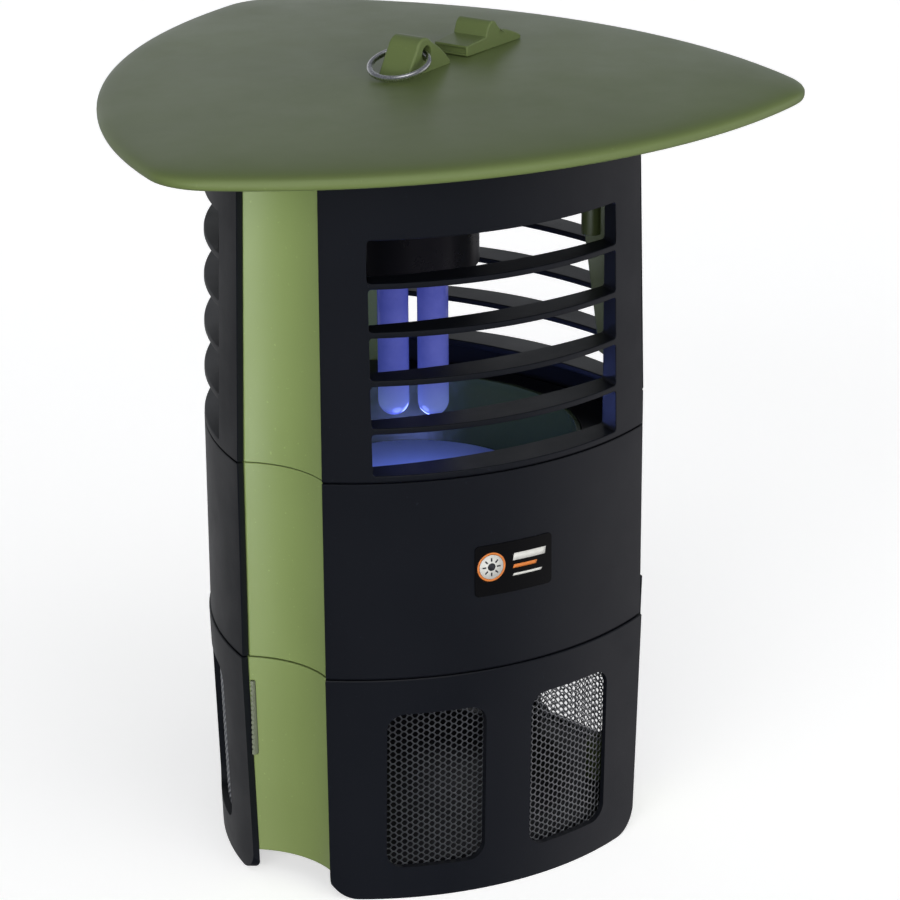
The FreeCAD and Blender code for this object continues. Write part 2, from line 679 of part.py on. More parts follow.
def container_floor():
    """Three-sided floor with a dished middle that stands on the table."""
    top = floor_z + plate_t
    sheet = plate(floor_z, top, panel_t + flange_t + 1.4, column_t + 0.6, True)
    sheet = sheet.cut(Part.makeCylinder(dish_r + 11, 20, V(0, 0, 0)))
    dish = revolved([(0, 0), (dish_r, 0), (dish_r + 9.5, floor_z), (dish_r + 11.5, floor_z),
                     (dish_r + 11.5, top), (dish_r + 8.5, top), (dish_r - 1.0, plate_t), (0, plate_t)])
    holes = [turned(boss(floor_z - 3, floor_z + 7, boss_x, clear_r), a) for a in corner_angles]
    return sheet.fuse(dish).cut(holes).removeSplitter()


def floor_screws():
    return at_corners(screw(boss_x, floor_z - 0.05, 9))


def mesh_sheet():
    """Metal mesh behind one panel's two windows, drawn as a plain sheet."""
    z1, z2 = floor_z + plate_t - 2.0, 80.5
    gap = panel_t + 0.1
    sheet = face_disc(z1, z2, gap, True, 48.0)
    sheet = sheet.cut(face_disc(z1 - 1, z2 + 1, gap + 0.6, True))
    return sheet


def main():
    os.makedirs("parts", exist_ok=True)
    nodes = {
        "roof_lid": roof_lid(), "hanging_lug": hanging_lug(), "lug_screws": lug_screws(),
        "hanging_ring": hanging_ring(), "lid_latch": lid_latch(), "roof_screws": roof_screws(),
        "top_deck": top_deck(), "deck_screws": deck_screws(), "lamp_canopy": lamp_canopy(),
        "lamp_socket": lamp_socket(), "lamp_base": lamp_base(), "lamp_tubes": lamp_tubes(),
        "ballast": ballast(), "terminal_block": terminal_block(), "inlet_grommet": inlet_grommet(),
        "separator_plate": separator_plate(), "separator_screws": separator_screws(), "funnel": funnel(),
        "attractant_disc": attractant_disc(), "fan_plate": fan_plate(),
        "fan_plate_screws": fan_plate_screws(), "fan_duct": fan_duct(), "fan_motor": fan_motor(),
        "motor_screws": motor_screws(),
        "fan_shaft": fan_shaft(), "fan_rotor": fan_rotor(), "nameplate": nameplate(),
        "container_collar": container_collar(), "container_floor": container_floor(),
        "floor_screws": floor_screws(),
    }
    panels = {"louvre_panel": louvre_panel(), "band_panel": band_panel(),
              "container_panel": container_panel(), "mesh_sheet": mesh_sheet()}
    for kind, shape in panels.items():
        for place, turn in zip(face_names, face_turns):
            nodes[kind + "_" + place] = turned(shape, turn)
    for place, angle in zip(corner_names, corner_angles):
        nodes["upper_column_" + place] = turned(upper_column(place == "rear"), angle)
        nodes["band_column_" + place] = turned(band_column(), angle)
        nodes["container_column_" + place] = turned(container_column(), angle)
        nodes["release_strip_" + place] = turned(release_strip(), angle)
    for name, shape in nodes.items():
        shape.exportStep("parts/" + name + ".step")
        sound = shape.isValid() and all(s.isClosed() for s in shape.Shells)
        print(name, "solids", len(shape.Solids), "volume", round(shape.Volume), "" if sound else "NOT SOUND")


main()
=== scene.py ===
import math

import bmesh
import bpy
from mathutils import Matrix, Vector


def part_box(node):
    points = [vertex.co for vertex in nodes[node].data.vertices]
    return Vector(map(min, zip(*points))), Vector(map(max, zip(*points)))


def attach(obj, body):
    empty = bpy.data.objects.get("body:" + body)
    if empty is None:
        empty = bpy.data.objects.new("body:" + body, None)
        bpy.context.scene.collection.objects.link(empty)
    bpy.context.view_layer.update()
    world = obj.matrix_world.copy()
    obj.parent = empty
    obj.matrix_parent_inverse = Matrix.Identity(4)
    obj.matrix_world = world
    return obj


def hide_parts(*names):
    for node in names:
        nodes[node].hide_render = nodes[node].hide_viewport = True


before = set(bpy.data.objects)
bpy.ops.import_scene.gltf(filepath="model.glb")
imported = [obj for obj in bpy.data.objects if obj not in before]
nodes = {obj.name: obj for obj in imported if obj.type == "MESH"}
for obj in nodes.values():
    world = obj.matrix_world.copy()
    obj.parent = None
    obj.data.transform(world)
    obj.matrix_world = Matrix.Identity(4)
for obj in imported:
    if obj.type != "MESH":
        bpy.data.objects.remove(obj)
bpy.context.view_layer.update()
scene = bpy.context.scene
scene.view_settings.view_transform = "Standard"
mm = 0.001
faceTurns = {"front": 0, "rear_right": 120, "rear_left": 240}
cornerAngles = {"right": 330, "rear": 90, "left": 210}
print("frame loaded with", len(nodes), "CAD nodes")


cameraSetup = {
    "azimuth": -26.571,
    "elevation": 20.959,
    "roll": -0.345,
    "lens": 141.13,
    "distance": 1.3429,
    "aimHeight": 0.14893,
    "aimRight": 0.01366,
}


def makeCamera(setup):
    az, el, roll = (math.radians(setup[k]) for k in ("azimuth", "elevation", "roll"))
    flatRight = Vector((math.cos(az), math.sin(az), 0))
    back = Vector((math.sin(az) * math.cos(el), -math.cos(az) * math.cos(el), math.sin(el)))
    plainUp = back.cross(flatRight)
    right = flatRight * math.cos(roll) + plainUp * math.sin(roll)
    up = plainUp * math.cos(roll) - flatRight * math.sin(roll)
    camera = bpy.data.objects.new("camera", bpy.data.cameras.new("camera"))
    camera.data.lens = setup["lens"]
    camera.data.sensor_width = 36
    camera.data.clip_start = 0.05
    turn = Matrix((right, up, back)).transposed().to_4x4()
    aim = Vector((0, 0, setup["aimHeight"])) + right * setup["aimRight"]
    camera.matrix_world = Matrix.Translation(aim + back * setup["distance"]) @ turn
    scene.collection.objects.link(camera)
    scene.camera = camera


makeCamera(cameraSetup)


def blankMaterial(name):
    mat = bpy.data.materials.new(name)
    mat.use_nodes = True
    tree = mat.node_tree
    return mat, tree, tree.nodes["Principled BSDF"]


def addNode(tree, kind, inputs=None, **settings):
    node = tree.nodes.new(kind)
    for key, value in settings.items():
        setattr(node, key, value)
    for key, value in (inputs or {}).items():
        node.inputs[key].default_value = value
    return node


def wire(tree, source, sourceName, target, targetName):
    tree.links.new(source.outputs[sourceName], target.inputs[targetName])


def colourRamp(tree, stops, source=None, sourceName="Fac", interpolation="LINEAR"):
    ramp = addNode(tree, "ShaderNodeValToRGB")
    ramp.color_ramp.interpolation = interpolation
    elements = ramp.color_ramp.elements
    while len(elements) < len(stops):
        elements.new(0.5)
    for element, (place, colour) in zip(elements, stops):
        element.position = place
        element.color = (*colour, 1) if len(colour) == 3 else colour
    if source is not None:
        wire(tree, source, sourceName, ramp, "Fac")
    return ramp


def grey(v):
    return (v, v, v)


def noiseNode(tree, coords, scale, detail=4.0, roughness=0.55, stretch=None):
    tex = addNode(tree, "ShaderNodeTexNoise", {"Scale": scale, "Detail": detail, "Roughness": roughness})
    if stretch is None:
        wire(tree, coords, "Object", tex, "Vector")
    else:
        mapping = addNode(tree, "ShaderNodeMapping", {"Scale": stretch})
        wire(tree, coords, "Object", mapping, "Vector")
        wire(tree, mapping, "Vector", tex, "Vector")
    return tex


# each argument is a (node, output name) pair or a plain value
def mixColour(tree, kind, factor, first, second):
    mix = addNode(tree, "ShaderNodeMix", data_type="RGBA", blend_type=kind)
    for socket, value in ((mix.inputs[0], factor), (mix.inputs[6], first), (mix.inputs[7], second)):
        if isinstance(value, tuple) and hasattr(value[0], "outputs"):
            tree.links.new(value[0].outputs[value[1]], socket)
        elif isinstance(value, tuple):
            socket.default_value = (*value, 1)
        else:
            socket.default_value = value
    return mix


# drifting tone, pale specks, fine grain, rubbed patches, dust on faces that look up, and where asked,
# painted shade on the side that faces the axis
def mouldedPlastic(name, look):
    mat, tree, shader = blankMaterial(name)
    coords = addNode(tree, "ShaderNodeTexCoord")
    drift = noiseNode(tree, coords, look["driftScale"], 3.0, 0.6)
    low, mid, high = (tuple(c * k for c in look["colour"]) for k in look["driftRange"])
    base = colourRamp(tree, [(0.3, low), (0.5, mid), (0.72, high)], drift)
    flow = noiseNode(tree, coords, 9.0, 5.0, 0.6, look.get("flow", (1, 1, 0.12)))
    flowTone = colourRamp(tree, [(0.35, grey(0.93)), (0.65, grey(1.05))], flow)
    toned = mixColour(tree, "MULTIPLY", 1.0, (base, "Color"), (flowTone, "Color"))
    specks = noiseNode(tree, coords, look["speckScale"], 1.0, 0.4)
    speckMask = colourRamp(tree, [(look["speckCut"], grey(0)), (look["speckCut"] + 0.05, grey(1))], specks)
    paleSpeck = tuple(c * look["speckLift"] for c in look["colour"])
    spotted = mixColour(tree, "MIX", (speckMask, "Color"), (toned, 2), paleSpeck)
    geometry = addNode(tree, "ShaderNodeNewGeometry")
    split = addNode(tree, "ShaderNodeSeparateXYZ")
    wire(tree, geometry, "Normal", split, "Vector")
    upward = addNode(tree, "ShaderNodeMapRange", {"From Min": 0.55, "From Max": 0.95})
    wire(tree, split, "Z", upward, "Value")
    dustNoise = noiseNode(tree, coords, look["dustScale"], 6.0, 0.7)
    dustStops = [(look["dustCut"], grey(0)), (look["dustCut"] + 0.18, grey(look["dustAmount"]))]
    dustMask = colourRamp(tree, dustStops, dustNoise)
    dust = addNode(tree, "ShaderNodeMath", operation="MULTIPLY")
    wire(tree, upward, "Result", dust, 0)
    wire(tree, dustMask, "Color", dust, 1)
    dusty = mixColour(tree, "MIX", (dust, 0), (spotted, 2), look["dustColour"])
    tree.links.new(dusty.outputs[2], shader.inputs["Base Color"])
    if "paintedInnerShade" in look:   # painted shade: darker on the side that faces the axis, where the columns' insides lie in shade
        darkTo, lightFrom, tone = look["paintedInnerShade"]
        flat = addNode(tree, "ShaderNodeVectorMath", operation="MULTIPLY")
        flat.inputs[1].default_value = (1, 1, 0)
        wire(tree, coords, "Object", flat, 0)
        reach = addNode(tree, "ShaderNodeVectorMath", operation="LENGTH")
        wire(tree, flat, 0, reach, 0)
        fade = addNode(tree, "ShaderNodeMapRange",
                       {"From Min": darkTo, "From Max": lightFrom, "To Min": tone})
        wire(tree, reach, "Value", fade, "Value")
        shaded = mixColour(tree, "MULTIPLY", 1.0, (dusty, 2), (fade, "Result"))
        tree.links.new(shaded.outputs[2], shader.inputs["Base Color"])
    rub = noiseNode(tree, coords, look["rubScale"], 5.0, 0.65)
    lowRough, highRough = look["roughness"]
    rough = addNode(tree, "ShaderNodeMapRange",
                    {"From Min": 0.3, "From Max": 0.7, "To Min": lowRough, "To Max": highRough})
    wire(tree, rub, "Fac", rough, "Value")
    roughDust = addNode(tree, "ShaderNodeMath", operation="MULTIPLY_ADD", inputs={1: 0.3})
    wire(tree, dust, 0, roughDust, 0)
    wire(tree, rough, "Result", roughDust, 2)
    wire(tree, roughDust, 0, shader, "Roughness")
    grain = noiseNode(tree, coords, look["grainScale"], 3.0, 0.6)
    wave = noiseNode(tree, coords, look["waveScale"], 2.0, 0.5)
    grainBump = addNode(tree, "ShaderNodeBump", {"Strength": look["grainStrength"], "Distance": 0.00012})
    wire(tree, grain, "Fac", grainBump, "Height")
    waveBump = addNode(tree, "ShaderNodeBump", {"Strength": look["waveStrength"], "Distance": 0.0006})
    wire(tree, wave, "Fac", waveBump, "Height")
    wire(tree, grainBump, "Normal", waveBump, "Normal")
    wire(tree, waveBump, "Normal", shader, "Normal")
    shader.inputs["IOR"].default_value = look.get("ior", 1.47)
    shader.inputs["Coat Weight"].default_value = look.get("coat", 0.0)
    shader.inputs["Coat Roughness"].default_value = look.get("coatRoughness", 0.2)
    return mat


plasticBase = {
    "driftScale": 7.0, "driftRange": (0.93, 1.0, 1.06),
    "speckScale": 900.0, "speckCut": 0.74, "speckLift": 1.25,
    "dustScale": 160.0, "dustCut": 0.56, "dustAmount": 0.10, "dustColour": (0.30, 0.30, 0.28),
    "rubScale": 26.0, "roughness": (0.34, 0.44),
    "grainScale": 2600.0, "grainStrength": 0.35, "waveScale": 60.0, "waveStrength": 0.05,
}

green = (0.150, 0.196, 0.067)
# a darker copy of the body green; part of the darkening is painted shade that keeps the roof's lit top dim
roofGreenPaintedShade = mouldedPlastic("roofGreenPaintedShade", {
    **plasticBase, "colour": (0.104, 0.139, 0.048), "roughness": (0.30, 0.38), "grainStrength": 0.25,
    "flow": (0.5, 1, 1), "waveStrength": 0.08, "dustAmount": 0.05, "dustScale": 420.0, "dustCut": 0.68})
# the columns' insides get painted shade towards the axis
columnGreen = mouldedPlastic("columnGreen", {
    **plasticBase, "colour": green, "roughness": (0.34, 0.44), "waveStrength": 0.07, "ior": 1.52,
    "paintedInnerShade": (0.0752, 0.0772, 0.16)})
panelBlack = mouldedPlastic("panelBlack", {
    **plasticBase, "colour": (0.0036, 0.0043, 0.0066), "roughness": (0.38, 0.50), "speckLift": 2.4,
    "dustAmount": 0.30, "dustScale": 1400.0, "dustCut": 0.60, "dustColour": (0.09, 0.08, 0.075)})
innerBlack = mouldedPlastic("innerBlack", {
    **plasticBase, "colour": (0.010, 0.010, 0.012), "roughness": (0.36, 0.5), "dustAmount": 0.35,
    "dustColour": (0.10, 0.09, 0.08), "dustScale": 500.0})
canopyBlack = mouldedPlastic("canopyBlack", {
    **plasticBase, "colour": (0.0055, 0.0052, 0.0075), "roughness": (0.24, 0.32), "flow": (14, 14, 0.1)})
funnelGreen = mouldedPlastic("funnelGreen", {
    **plasticBase, "colour": (0.070, 0.100, 0.055), "roughness": (0.16, 0.24), "ior": 1.5})
stripGrey = mouldedPlastic("stripGrey", {
    **plasticBase, "colour": (0.17, 0.19, 0.14), "roughness": (0.5, 0.62), "speckLift": 0.6})
whitePlastic = mouldedPlastic("whitePlastic", {
    **plasticBase, "colour": (0.72, 0.72, 0.68), "roughness": (0.28, 0.36), "speckLift": 0.8})
# a pale disc; its blue tint, also in its dust, is painted light from the blue lamp
discPaintedLampBlue = mouldedPlastic("discPaintedLampBlue", {
    **plasticBase, "colour": (0.45, 0.56, 0.86), "roughness": (0.32, 0.42), "speckLift": 1.1,
    "dustAmount": 0.12, "dustColour": (0.3, 0.35, 0.5)})
rubberBlack = mouldedPlastic("rubberBlack", {
    **plasticBase, "colour": (0.014, 0.014, 0.014), "roughness": (0.62, 0.74), "ior": 1.42})


# bare or plated metal with drawn streaks and blotches of tarnish
def worn(name, look):
    mat, tree, shader = blankMaterial(name)
    coords = addNode(tree, "ShaderNodeTexCoord")
    blotch = noiseNode(tree, coords, look["blotchScale"], 5.0, 0.62)
    tarnished = tuple(c * look["darken"] for c in look["colour"])
    base = colourRamp(tree, [(0.3, tarnished), (0.62, look["colour"])], blotch)
    streak = noiseNode(tree, coords, look["streakScale"], 3.0, 0.6, look["stretch"])
    streakTone = colourRamp(tree, [(0.3, grey(0.86)), (0.7, grey(1.04))], streak)
    toned = mixColour(tree, "MULTIPLY", 1.0, (base, "Color"), (streakTone, "Color"))
    tree.links.new(toned.outputs[2], shader.inputs["Base Color"])
    low, high = look["roughness"]
    rough = addNode(tree, "ShaderNodeMapRange",
                    {"From Min": 0.3, "From Max": 0.7, "To Min": low, "To Max": high})
    wire(tree, streak, "Fac", rough, "Value")
    wire(tree, rough, "Result", shader, "Roughness")
    bump = addNode(tree, "ShaderNodeBump", {"Strength": look["bump"], "Distance": 0.0001})
    wire(tree, streak, "Fac", bump, "Height")
    wire(tree, bump, "Normal", shader, "Normal")
    shader.inputs["Metallic"].default_value = 1.0
    return mat


ringSteel = worn("ringSteel", {
    "colour": (0.90, 0.91, 0.92), "darken": 0.86, "blotchScale": 240.0, "streakScale": 900.0,
    "stretch": (1, 1, 1), "roughness": (0.20, 0.30), "bump": 0.15})
zincSteel = worn("zincSteel", {
    "colour": (0.62, 0.62, 0.60), "darken": 0.7, "blotchScale": 500.0, "streakScale": 1500.0,
    "stretch": (1, 1, 0.3), "roughness": (0.28, 0.42), "bump": 0.25})
meshSteel = worn("meshSteel", {
    "colour": (0.78, 0.79, 0.81), "darken": 0.80, "blotchScale": 160.0, "streakScale": 1400.0,
    "stretch": (1, 1, 1), "roughness": (0.30, 0.46), "bump": 0.3})
motorSteel = worn("motorSteel", {
    "colour": (0.5, 0.5, 0.5), "darken": 0.75, "blotchScale": 130.0, "streakScale": 700.0,
    "stretch": (0.1, 0.1, 3), "roughness": (0.25, 0.38), "bump": 0.2})
ballastSteel = worn("ballastSteel", {
    "colour": (0.66, 0.66, 0.64), "darken": 0.8, "blotchScale": 90.0, "streakScale": 500.0,
    "stretch": (3, 0.1, 1), "roughness": (0.35, 0.5), "bump": 0.2})


lampLook = {
    "deep": (0.018, 0.024, 0.14),
    "middle": (0.026, 0.038, 0.18),
    "tip": (0.085, 0.125, 0.31),
    "electrode": (0.030, 0.025, 0.12),
    "strength": 1.0,
    "glowPower": 0.014,
    "glowColour": (0.22, 0.30, 1.0),
    "glowPlaces": ((-6, -4, 158), (6, 4, 158)),   # under the tubes' tips, mm
    "glowSize": 0.006,
}


def lampMaterial(look):
    mat, tree, shader = blankMaterial("lampGlow")
    coords = addNode(tree, "ShaderNodeTexCoord")
    split = addNode(tree, "ShaderNodeSeparateXYZ")
    wire(tree, coords, "Object", split, "Vector")
    lo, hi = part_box("lamp_tubes")
    height = addNode(tree, "ShaderNodeMapRange", {"From Min": lo.z, "From Max": hi.z})
    wire(tree, split, "Z", height, "Value")
    cloud = noiseNode(tree, coords, 90.0, 4.0, 0.6)
    wobble = addNode(tree, "ShaderNodeMath", operation="MULTIPLY_ADD", inputs={1: 0.05})
    wire(tree, cloud, "Fac", wobble, 0)
    wire(tree, height, "Result", wobble, 2)
    ramp = colourRamp(tree, [(0.0, look["deep"]), (0.07, look["tip"]), (0.26, look["middle"]),
                             (0.75, look["deep"]), (0.9, look["deep"]), (1.0, look["electrode"])], wobble, 0)
    facing = addNode(tree, "ShaderNodeLayerWeight", {"Blend": 0.35})
    rimStops = [(0.15, grey(1.12)), (0.62, grey(0.94)), (0.95, (0.55, 0.42, 0.78))]
    rim = colourRamp(tree, rimStops, facing, "Facing")
    glow = mixColour(tree, "MULTIPLY", 1.0, (ramp, "Color"), (rim, "Color"))
    tree.links.new(glow.outputs[2], shader.inputs["Emission Color"])
    shader.inputs["Emission Strength"].default_value = look["strength"]
    base = colourRamp(tree, [(0.3, (0.05, 0.055, 0.20)), (0.7, (0.08, 0.085, 0.27))], cloud)
    wire(tree, base, "Color", shader, "Base Color")
    fine = noiseNode(tree, coords, 1200.0, 2.0, 0.5)
    rough = addNode(tree, "ShaderNodeMapRange", {"To Min": 0.10, "To Max": 0.18})
    wire(tree, fine, "Fac", rough, "Value")
    wire(tree, rough, "Result", shader, "Roughness")
    return mat


lampGlass = lampMaterial(lampLook)


# edge is the softened edge's width in mm
def dress(material, *names, edge=None, segments=2):
    for name in names:
        node = nodes[name]
        node.data.materials.clear()
        node.data.materials.append(material)
        if edge:
            weld = node.modifiers.new("join", "WELD")
            weld.merge_threshold = 0.000004
            flat = node.modifiers.new("flat", "DECIMATE")
            flat.decimate_type = "DISSOLVE"
            flat.angle_limit = math.radians(0.4)
            bevel = node.modifiers.new("soften", "BEVEL")
            bevel.width = edge * mm
            bevel.segments = segments
            bevel.limit_method = "ANGLE"
            bevel.angle_limit = math.radians(38)
            bevel.use_clamp_overlap = False
            bevel.miter_outer = "MITER_ARC"
            normals = node.modifiers.new("normals", "WEIGHTED_NORMAL")
            normals.keep_sharp = False
            normals.weight = 60


def named(kind, places):
    return [kind + "_" + place for place in places]


dress(columnGreen, *named("upper_column", cornerAngles), *named("band_column", cornerAngles),
      *named("container_column", cornerAngles), edge=0.35)
dress(panelBlack, *named("louvre_panel", faceTurns), *named("band_panel", faceTurns), edge=0.45)
dress(panelBlack, *named("container_panel", faceTurns))
dress(roofGreenPaintedShade, "hanging_lug", "lid_latch", edge=0.25)
dress(innerBlack, "top_deck", "separator_plate", "fan_plate", "fan_duct", "container_collar",
      "container_floor", "fan_rotor", edge=0.3)
dress(canopyBlack, "lamp_canopy", edge=0.3)
dress(funnelGreen, "funnel", edge=0.3)
dress(discPaintedLampBlue, "attractant_disc")
dress(stripGrey, *named("release_strip", cornerAngles))
dress(ringSteel, "hanging_ring")
dress(zincSteel, "lug_screws", "roof_screws", "deck_screws", "separator_screws", "fan_plate_screws",
      "floor_screws", "motor_screws", "fan_shaft")
dress(motorSteel, "fan_motor")
dress(ballastSteel, "ballast", edge=0.3)
dress(whitePlastic, "lamp_base", "lamp_socket", "terminal_block", edge=0.3)
dress(rubberBlack, "inlet_grommet", edge=0.2)
dress(lampGlass, "lamp_tubes")
print("materials on the CAD nodes")


def meshPiece(name, points, faces, material, smooth=True):
    mesh = bpy.data.meshes.new(name)
    mesh.from_pydata([tuple(p) for p in points], [], faces)
    mesh.validate()
    mesh.update()
    piece = bpy.data.objects.new(name, mesh)
    scene.collection.objects.link(piece)
    piece.data.materials.append(material)
    for face in mesh.polygons:
        face.use_smooth = smooth
    return piece


# applies the modifiers
def settle(piece):
    graph = bpy.context.evaluated_depsgraph_get()
    made = bpy.data.meshes.new_from_object(piece.evaluated_get(graph))
    piece.modifiers.clear()
    piece.data = made


roofSize = {
    "corner": 147.0,      # circumradius of the sharp triangle, mm
    "sideRadius": 223.5,
    "cornerRadius": 25.7,
    "sidePoints": 44,
    "cornerPoints": 12,
    # (scale of the outline, height in mm), from the centre outwards, round the rim and back under
    "profile": ((0.04, 297.4), (0.14, 297.4), (0.26, 297.38), (0.40, 297.15), (0.54, 296.8), (0.66, 296.45),
                (0.76, 296.05), (0.84, 295.55), (0.90, 295.0), (0.94, 294.5), (0.965, 294.0), (0.98, 293.5),
                (0.990, 292.95), (0.9965, 292.3), (0.9995, 291.6), (1.0, 290.9), (0.9995, 290.1),
                (0.9975, 289.5), (0.9935, 289.1), (0.988, 289.0), (0.984, 289.2), (0.981, 290.0),
                (0.970, 291.2), (0.94, 292.1), (0.88, 293.0), (0.76, 293.8), (0.54, 294.5), (0.26, 294.95),
                (0.04, 295.0)),
}


def roofOutline(size):
    corner, sideR, cornerR = size["corner"], size["sideRadius"], size["cornerRadius"]
    corners = [Vector((corner * math.cos(math.radians(a)), corner * math.sin(math.radians(a))))
               for a in (210, 330, 90)]
    centres, rounds, points = [], [], []
    for i in range(3):
        p, q = corners[i], corners[(i + 1) % 3]
        middle = (p + q) / 2
        half = (q - p).length / 2
        centres.append(middle - middle.normalized() * math.sqrt(sideR ** 2 - half ** 2))
    for i in range(3):
        direction, c = corners[i].normalized(), centres[i]
        b = direction.dot(c)
        rounds.append(direction * (b + math.sqrt(b * b - c.dot(c) + (sideR - cornerR) ** 2)))
    for i in range(3):
        c, start, end = centres[i], rounds[i], rounds[(i + 1) % 3]
        a1 = math.atan2(*(start - c).yx)
        a2 = math.atan2(*(end - c).yx)
        a2 += 2 * math.pi if a2 < a1 else 0
        for k in range(size["sidePoints"]):
            a = a1 + (a2 - a1) * k / size["sidePoints"]
            points.append(c + Vector((math.cos(a), math.sin(a))) * sideR)
        nextC = centres[(i + 1) % 3]
        b1 = math.atan2(*(end - c).yx)
        b2 = math.atan2(*(end - nextC).yx)
        b2 += 2 * math.pi if b2 < b1 else 0
        for k in range(size["cornerPoints"]):
            a = b1 + (b2 - b1) * k / size["cornerPoints"]
            points.append(end + Vector((math.cos(a), math.sin(a))) * cornerR)
    return points


def makeRoof(size):
    outline = roofOutline(size)
    count = len(outline)
    points, faces = [], []
    for scale, height in size["profile"]:
        points += [(p.x * scale * mm, p.y * scale * mm, height * mm) for p in outline]
    rings = len(size["profile"])
    for r in range(rings - 1):
        for k in range(count):
            n = (k + 1) % count
            faces.append((r * count + k, (r + 1) * count + k, (r + 1) * count + n, r * count + n))
    faces.append(tuple(range(count)))
    faces.append(tuple(reversed(range((rings - 1) * count, rings * count))))
    return meshPiece("roofLid", points, faces, roofGreenPaintedShade)


roofSeat = {
    "faceRadius": 119.9,   # of the wall's outer side, on centres behind the axis, mm
    "faceBack": 44.6,
    "coveRadius": 38.0,
    "coveCentre": 115.2,
    "wall": 3.0,
    "low": 288.72,
    "high": 294.7,
    "postAt": 52.0,
    "postRadius": 4.0,
    "postLow": 264.6,
    "postSteps": 32,
}


# closed outline that follows the body's plan, set in by inset
def planLoop(seat, inset, faceSteps=36, coveSteps=14):
    back = seat["faceBack"]
    faceR = seat["faceRadius"] - inset
    coveR = seat["coveRadius"] + inset
    faceCentre = Vector((-back * 0.5, back * math.sin(math.radians(60))))
    coveCentre = Vector((seat["coveCentre"], 0))
    between = coveCentre - faceCentre
    along = (faceR ** 2 - coveR ** 2 + between.length_squared) / (2 * between.length)
    across = math.sqrt(faceR ** 2 - along ** 2)
    ahead = between.normalized()
    meet = faceCentre + ahead * along - Vector((-ahead.y, ahead.x)) * across
    swing = math.atan2(-meet.y, coveCentre.x - meet.x)
    start = math.atan2(meet.y - back * math.sin(math.radians(60)), meet.x + back * 0.5)
    points = []
    for corner in sorted(cornerAngles.values()):
        turn = Matrix.Rotation(math.radians(corner), 2)
        for k in range(coveSteps):
            a = math.pi + swing - 2 * swing * k / coveSteps
            points.append(turn @ (coveCentre + Vector((math.cos(a), math.sin(a))) * coveR))
        nextTurn = Matrix.Rotation(math.radians(corner + 60), 2)
        centre = nextTurn @ Vector((-back, 0))
        halfArc = math.radians(60) + start
        for k in range(faceSteps):
            a = math.radians(corner + 60) - halfArc + 2 * halfArc * k / faceSteps
            points.append(centre + Vector((math.cos(a), math.sin(a))) * faceR)
    return points


def makeRoofSeat(seat):
    outer, inner = planLoop(seat, 0.0), planLoop(seat, seat["wall"])
    count = len(outer)
    points, faces = [], []
    for loop, z in ((outer, "low"), (outer, "high"), (inner, "high"), (inner, "low")):
        points += [(p.x * mm, p.y * mm, seat[z] * mm) for p in loop]
    for row in range(4):
        for k in range(count):
            n = (k + 1) % count
            below = ((row + 1) % 4) * count
            faces.append((row * count + k, row * count + n, below + n, below + k))
    postSteps = seat["postSteps"]
    for corner in cornerAngles.values():
        a = math.radians(corner)
        middle = Vector((math.cos(a), math.sin(a))) * seat["postAt"]
        first = len(points)
        for z in ("postLow", "high"):
            for k in range(postSteps):
                t = 2 * math.pi * k / postSteps
                points.append(((middle.x + math.cos(t) * seat["postRadius"]) * mm,
                               (middle.y + math.sin(t) * seat["postRadius"]) * mm, seat[z] * mm))
        top = first + postSteps
        for k in range(postSteps):
            n = (k + 1) % postSteps
            faces.append((first + k, first + n, top + n, top + k))
        faces.append(tuple(reversed(range(first, top))))
        faces.append(tuple(range(top, top + postSteps)))
    return meshPiece("roofSeat", points, faces, roofGreenPaintedShade, smooth=False)


roof = makeRoof(roofSize)
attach(roof, "head")
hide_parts("roof_lid")
seatRing = makeRoofSeat(roofSeat)
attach(seatRing, "head")
print("roof made")


meshSize = {
    "cellWide": 4.2,      # mm
    "cellHigh": 2.62,
    "sideReach": 1.55,    # from a cell's middle to its left and right points
    "strand": 0.27,       # half a strand's width
    "thickness": 0.32,
    "lean": 0.26,
    "halfAngle": 23.6,    # of the face's arc
    "low": 10.8,
    "high": 80.0,
    "arcBack": 44.6,
    "footRadius": 121.0,
    "topRadius": 123.9,
    "topHeight": 91.0,
    "inset": 3.05,
}


